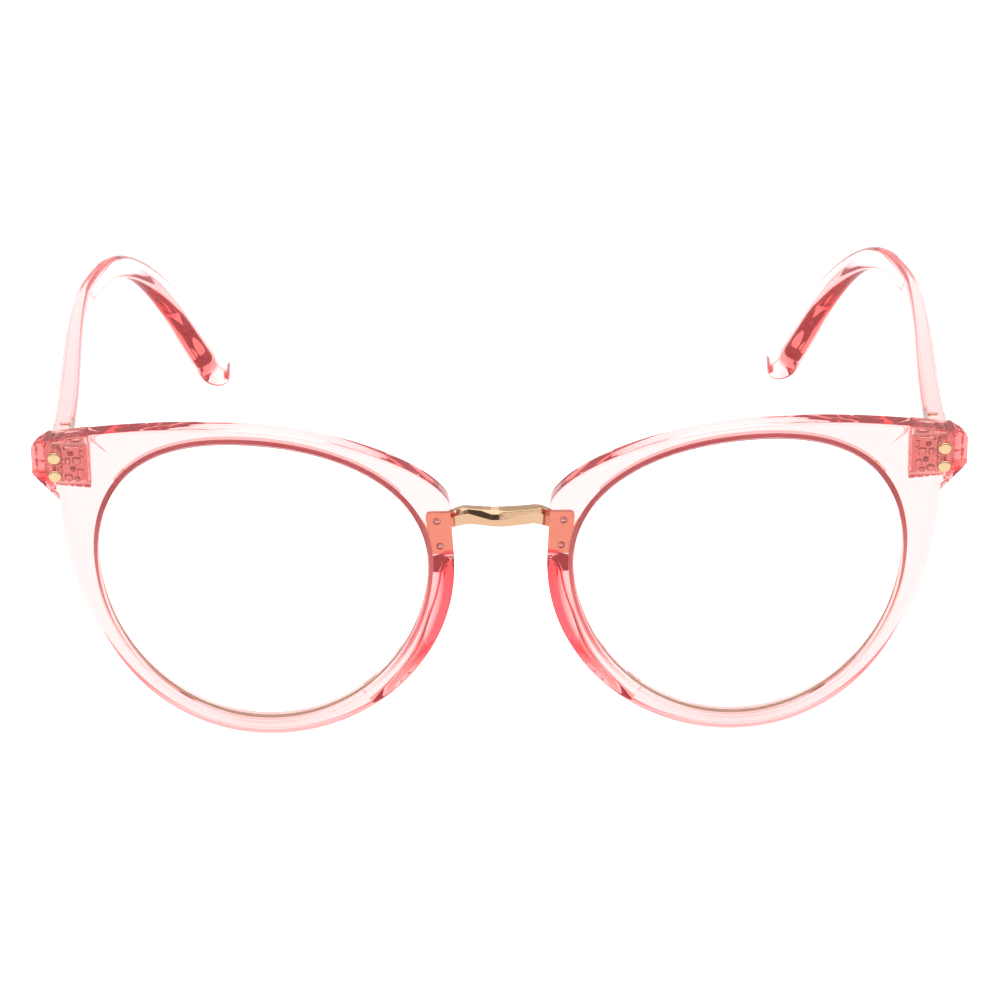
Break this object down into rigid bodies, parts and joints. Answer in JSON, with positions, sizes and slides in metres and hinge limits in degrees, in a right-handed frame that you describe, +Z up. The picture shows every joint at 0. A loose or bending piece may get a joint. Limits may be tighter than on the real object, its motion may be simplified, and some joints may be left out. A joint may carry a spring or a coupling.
{
  "type": "eyeglasses",
  "caption": "Blue light glasses with round cat-eye rims of clear pink plastic, flat clear lenses, a faceted rose-gold metal bridge and folding temples.",
  "frame": {"origin": "middle of the whole bounding box, at the height of the surface that the glasses stand on", "axes": "+Z up, +Y from the front towards the ear ends, +X to the right for someone looking at the front; left and right in node names are that viewer's"},
  "size_m": [0.142, 0.1334, 0.0519],
  "materials": {
    "pink_plastic": "polished, clear, tinted pink through its thickness",
    "clear_lens": "polished, with a faint anti-reflection coating",
    "rose_gold": "polished, with hammered facets",
    "pale_gold": "polished",
    "nickel_steel": "plated, satin"
  },
  "bodies": {
    "front": {"bridge": "rose_gold", "bridge_screw_lower_left": "nickel_steel", "bridge_screw_lower_right": "nickel_steel", "bridge_screw_upper_left": "nickel_steel", "bridge_screw_upper_right": "nickel_steel", "front_hinge_leaf_left": "nickel_steel", "front_hinge_leaf_right": "nickel_steel", "hinge_screw_left": "nickel_steel", "hinge_screw_right": "nickel_steel", "lens_left": "clear_lens", "lens_right": "clear_lens", "rim_left": "pink_plastic", "rim_right": "pink_plastic", "rivet_lower_left": "pale_gold", "rivet_lower_right": "pale_gold", "rivet_upper_left": "pale_gold", "rivet_upper_right": "pale_gold"},
    "temple_arm_right": {"temple_hinge_leaf_right": "nickel_steel", "temple_right": "pink_plastic", "temple_rivet_front_right": "pale_gold", "temple_rivet_rear_right": "pale_gold"},
    "temple_arm_left": {"temple_hinge_leaf_left": "nickel_steel", "temple_left": "pink_plastic", "temple_rivet_front_left": "pale_gold", "temple_rivet_rear_left": "pale_gold"}
  },
  "joints": [
    {"name": "temple_fold_right", "type": "hinge", "parent": "front", "child": "temple_arm_right", "pos_m": [0.06365, -0.05545, 0.0439], "axis": [0, 0, 1], "range_deg": [0, 84]},
    {"name": "temple_fold_left", "type": "hinge", "parent": "front", "child": "temple_arm_left", "pos_m": [-0.06365, -0.05545, 0.0439], "axis": [0, 0, -1], "range_deg": [0, 74]}
  ]
}
